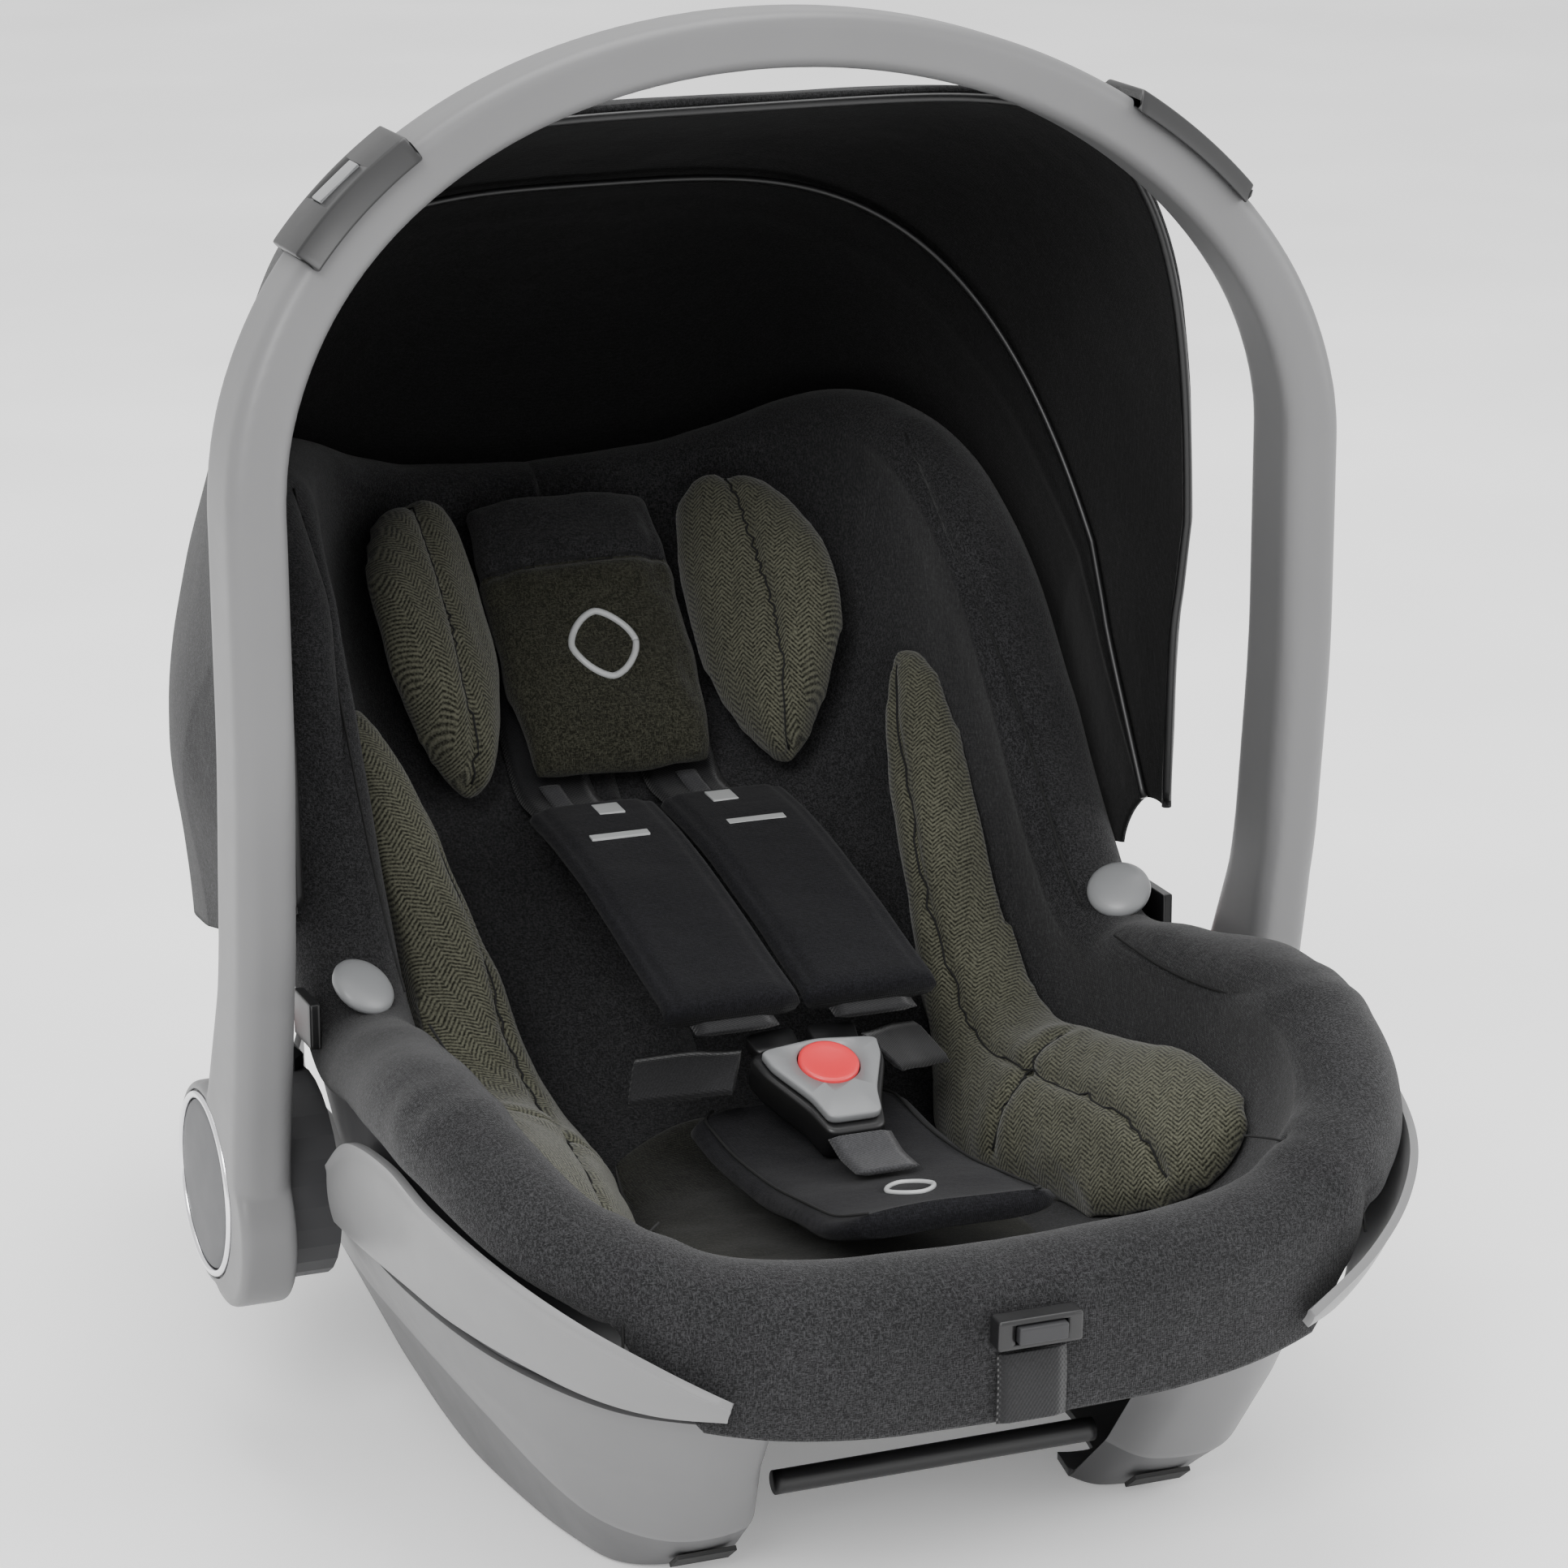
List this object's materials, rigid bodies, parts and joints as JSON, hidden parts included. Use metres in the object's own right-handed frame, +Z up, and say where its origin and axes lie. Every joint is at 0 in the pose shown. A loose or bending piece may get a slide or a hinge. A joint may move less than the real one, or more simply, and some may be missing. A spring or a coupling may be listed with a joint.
{
  "type": "infant car seat",
  "caption": "Rear-facing infant car seat carrier with padded bucket, turning carry handle, folding canopy, headrest, harness and buckle.",
  "frame": {"origin": "middle of the base of the bounding box, on the floor", "axes": "+X is the seated baby's left, +Y the head end, -Y the foot end, +Z up; the seat is symmetric about X = 0"},
  "size_m": [0.4672, 0.6276, 0.571],
  "materials": {
    "grey_plastic": "satin moulded, fine grain",
    "dark_plastic": "satin",
    "black_plastic": "satin",
    "light_plastic": "semi-gloss",
    "red_plastic": "semi-gloss",
    "rubber": "matt",
    "steel": "brushed",
    "chrome": "polished",
    "foam": "expanded foam, matt",
    "charcoal_fabric": "melange plain weave",
    "olive_fabric": "herringbone melange weave",
    "pad_fabric": "smooth knitted",
    "webbing": "woven webbing",
    "canopy_fabric": "plain weave, coated inside"
  },
  "bodies": {
    "shell": {"seat_shell": "grey_plastic", "foam_liner": "foam", "seat_cover": "charcoal_fabric", "seat_cover_back": "charcoal_fabric", "insert_seat_pad": "olive_fabric", "body_bolster_L": "olive_fabric", "body_bolster_R": "olive_fabric", "rim_trim_L": "grey_plastic", "rim_trim_R": "grey_plastic", "base_side_L": "grey_plastic", "base_side_R": "grey_plastic", "foot_pad_L": "rubber", "foot_pad_R": "rubber", "front_bar": "black_plastic", "rear_bar": "black_plastic", "hub_boss_L": "dark_plastic", "hub_boss_R": "dark_plastic", "pivot_pin_L": "steel", "pivot_pin_R": "steel", "lock_gear_L": "light_plastic", "lock_gear_R": "light_plastic", "cover_snap_L": "light_plastic", "cover_snap_R": "light_plastic", "canopy_mount_L": "black_plastic", "canopy_mount_R": "black_plastic", "canopy_rear": "canopy_fabric", "buckle_body": "black_plastic", "buckle_plate": "light_plastic", "shoulder_strap_L": "webbing", "shoulder_strap_R": "webbing", "shoulder_pad_L": "pad_fabric", "shoulder_pad_R": "pad_fabric", "lap_strap_L": "webbing", "lap_strap_R": "webbing", "crotch_pad": "pad_fabric", "crotch_strap": "webbing", "adjuster_housing": "black_plastic", "adjuster_strap": "webbing"},
    "handle": {"carry_handle": "grey_plastic", "hub_ring_L": "chrome", "hub_ring_R": "chrome", "hub_cap_L": "dark_plastic", "hub_cap_R": "dark_plastic", "grip_insert_L": "dark_plastic", "grip_insert_R": "dark_plastic"},
    "grip_button_left": {"grip_button_L": "light_plastic"},
    "grip_button_right": {"grip_button_R": "light_plastic"},
    "release_button_left": {"release_button_L": "red_plastic"},
    "release_button_right": {"release_button_R": "red_plastic"},
    "headrest": {"headrest_pad": "olive_fabric", "headrest_bolster_L": "olive_fabric", "headrest_bolster_R": "olive_fabric"},
    "buckle_press": {"buckle_button": "red_plastic"},
    "tongue_left": {"buckle_tongue_L": "dark_plastic"},
    "tongue_right": {"buckle_tongue_R": "dark_plastic"},
    "adjuster_press": {"adjuster_button": "dark_plastic"},
    "canopy_front_part": {"canopy_front": "canopy_fabric", "canopy_front_bow": "black_plastic"},
    "canopy_middle_part": {"canopy_mid": "canopy_fabric", "canopy_mid_bow": "black_plastic"}
  },
  "joints": [
    {"name": "handle_turn", "type": "hinge", "parent": "shell", "child": "handle", "pos_m": [0, -0.00777, 0.107], "axis": [1, 0, 0], "range_deg": [0, 95]},
    {"name": "grip_press_left", "type": "slide", "parent": "handle", "child": "grip_button_left", "axis": [-0.6494, 0, -0.7604], "range_m": [0, 0.0018], "stiffness_N_per_m": 400},
    {"name": "grip_press_right", "type": "slide", "parent": "handle", "child": "grip_button_right", "axis": [0.6494, 0, -0.7604], "range_m": [0, 0.0018], "stiffness_N_per_m": 400},
    {"name": "release_press_left", "type": "slide", "parent": "shell", "child": "release_button_left", "axis": [-1, 0, 0], "range_m": [0, 0.003], "stiffness_N_per_m": 500},
    {"name": "release_press_right", "type": "slide", "parent": "shell", "child": "release_button_right", "axis": [1, 0, 0], "range_m": [0, 0.003], "stiffness_N_per_m": 500},
    {"name": "headrest_height", "type": "slide", "parent": "shell", "child": "headrest", "axis": [0, 0.68, 0.7332], "range_m": [0, 0.02]},
    {"name": "buckle_release", "type": "slide", "parent": "shell", "child": "buckle_press", "axis": [0, 0.3746, -0.9272], "range_m": [0, 0.002], "stiffness_N_per_m": 600},
    {"name": "tongue_pull_left", "type": "slide", "parent": "shell", "child": "tongue_left", "axis": [0, 0.9272, 0.3746], "range_m": [0, 0.012]},
    {"name": "tongue_pull_right", "type": "slide", "parent": "shell", "child": "tongue_right", "axis": [0, 0.9272, 0.3746], "range_m": [0, 0.012]},
    {"name": "adjuster_release", "type": "slide", "parent": "shell", "child": "adjuster_press", "axis": [0, 1, 0], "range_m": [0, 0.0015], "stiffness_N_per_m": 500},
    {"name": "canopy_front_fold", "type": "hinge", "parent": "shell", "child": "canopy_front_part", "pos_m": [0, -0.01176, 0.2], "axis": [-1, 0, 0], "range_deg": [0, 60]},
    {"name": "canopy_middle_fold", "type": "hinge", "parent": "shell", "child": "canopy_middle_part", "pos_m": [0, -0.01176, 0.2], "axis": [-1, 0, 0], "range_deg": [0, 30]}
  ],
  "couplings": [
    {"joint": "canopy_middle_fold", "follows": "canopy_front_fold", "ratio": 0.5}
  ]
}
